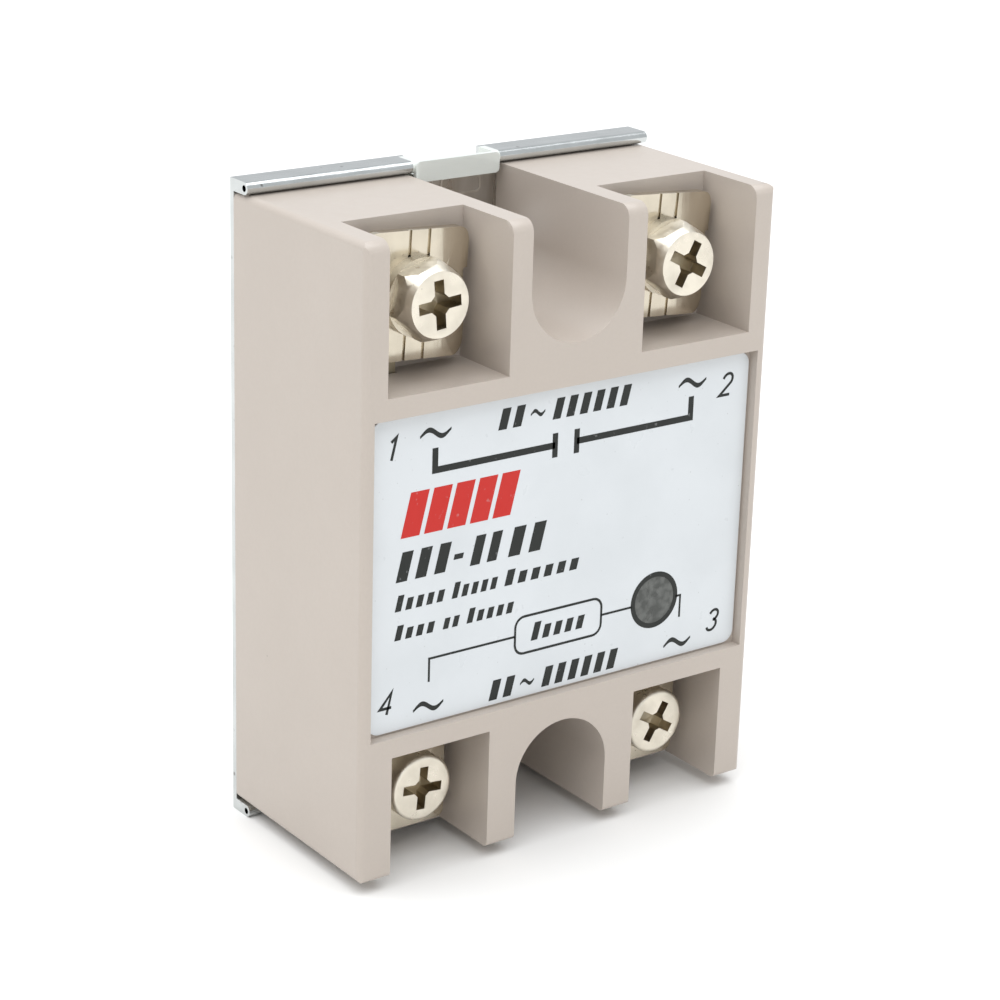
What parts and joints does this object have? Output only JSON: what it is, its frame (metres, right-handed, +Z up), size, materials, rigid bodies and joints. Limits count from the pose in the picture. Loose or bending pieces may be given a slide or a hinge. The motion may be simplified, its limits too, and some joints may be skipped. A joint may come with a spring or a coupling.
{
  "type": "solid state relay",
  "caption": "Panel-mount solid state relay: boxy moulded case with screw notches, recessed clamp terminals, status lamp window and a folded metal base plate.",
  "frame": {"origin": "centre of the footprint, level with the lower lips of the base plate", "axes": "+Z up along the relay's length, from the input terminals to the load terminals; -Y out of the label face; +Y into the panel, out of the base plate; +X to the right seen from the front"},
  "size_m": [0.045, 0.022, 0.0618],
  "materials": {
    "case_plastic": "moulded, semi-gloss, warm light grey",
    "label_film": "satin printed film",
    "window_film": "dark translucent film",
    "plated_sheet": "bright zinc plated sheet steel",
    "aluminium_sheet": "mill finish",
    "alumina": "matt white",
    "resin": "cast epoxy",
    "board_laminate": "solder resist on glass laminate",
    "black_epoxy": "moulded package",
    "white_epoxy": "moulded package",
    "resistor_blue": "lacquered film resistor",
    "resistor_tan": "lacquered film resistor",
    "capacitor_sleeve": "heat-shrink sleeve",
    "capacitor_yellow": "moulded box",
    "varistor_blue": "dipped epoxy coat",
    "lamp_red": "clear tinted lens",
    "terminal_brass": "nickel plated brass",
    "nickel_steel": "nickel plated steel"
  },
  "bodies": {
    "relay_body": {"housing": "case_plastic", "label": "label_film", "lamp_window": "window_film", "base_plate": "plated_sheet", "heat_spreader": "aluminium_sheet", "insulator_pad": "alumina", "potting_compound": "resin", "circuit_board": "board_laminate", "triac": "black_epoxy", "optocoupler": "white_epoxy", "bridge_rectifier": "black_epoxy", "input_resistor": "resistor_blue", "filter_capacitor": "capacitor_sleeve", "status_lamp": "lamp_red", "snubber_capacitor": "capacitor_yellow", "snubber_resistor": "resistor_tan", "gate_resistor": "resistor_tan", "varistor": "varistor_blue", "terminal_plate_1": "terminal_brass", "terminal_plate_2": "terminal_brass", "terminal_plate_3": "terminal_brass", "terminal_plate_4": "terminal_brass"},
    "clamp_1": {"wire_clamp_1": "nickel_steel", "spring_washer_1": "nickel_steel"},
    "screw_1": {"terminal_screw_1": "nickel_steel"},
    "clamp_2": {"wire_clamp_2": "nickel_steel", "spring_washer_2": "nickel_steel"},
    "screw_2": {"terminal_screw_2": "nickel_steel"},
    "clamp_3": {"wire_clamp_3": "nickel_steel", "spring_washer_3": "nickel_steel"},
    "screw_3": {"terminal_screw_3": "nickel_steel"},
    "clamp_4": {"wire_clamp_4": "nickel_steel", "spring_washer_4": "nickel_steel"},
    "screw_4": {"terminal_screw_4": "nickel_steel"}
  },
  "joints": [
    {"name": "clamp_1_lift", "type": "slide", "parent": "relay_body", "child": "clamp_1", "axis": [0, -1, 0], "range_m": [0, 0.0028]},
    {"name": "screw_1_turn", "type": "hinge", "parent": "clamp_1", "child": "screw_1", "pos_m": [-0.01378, -0.00802, 0.05375], "axis": [0, -1, 0], "range_deg": [0, 1440.5]},
    {"name": "clamp_2_lift", "type": "slide", "parent": "relay_body", "child": "clamp_2", "axis": [0, -1, 0], "range_m": [0, 0.0028]},
    {"name": "screw_2_turn", "type": "hinge", "parent": "clamp_2", "child": "screw_2", "pos_m": [0.01378, -0.00802, 0.05375], "axis": [0, -1, 0], "range_deg": [0, 1440.5]},
    {"name": "clamp_3_lift", "type": "slide", "parent": "relay_body", "child": "clamp_3", "axis": [0, -1, 0], "range_m": [0, 0.0024]},
    {"name": "screw_3_turn", "type": "hinge", "parent": "clamp_3", "child": "screw_3", "pos_m": [0.01378, -0.00802, 0.00755], "axis": [0, -1, 0], "range_deg": [0, 1440.5]},
    {"name": "clamp_4_lift", "type": "slide", "parent": "relay_body", "child": "clamp_4", "axis": [0, -1, 0], "range_m": [0, 0.0024]},
    {"name": "screw_4_turn", "type": "hinge", "parent": "clamp_4", "child": "screw_4", "pos_m": [-0.01378, -0.00802, 0.00755], "axis": [0, -1, 0], "range_deg": [0, 1440.5]}
  ],
  "couplings": [
    {"joint": "screw_1_turn", "follows": "clamp_1_lift", "rad_per_m": 8976},
    {"joint": "screw_2_turn", "follows": "clamp_2_lift", "rad_per_m": 8976},
    {"joint": "screw_3_turn", "follows": "clamp_3_lift", "rad_per_m": 10472},
    {"joint": "screw_4_turn", "follows": "clamp_4_lift", "rad_per_m": 10472}
  ]
}
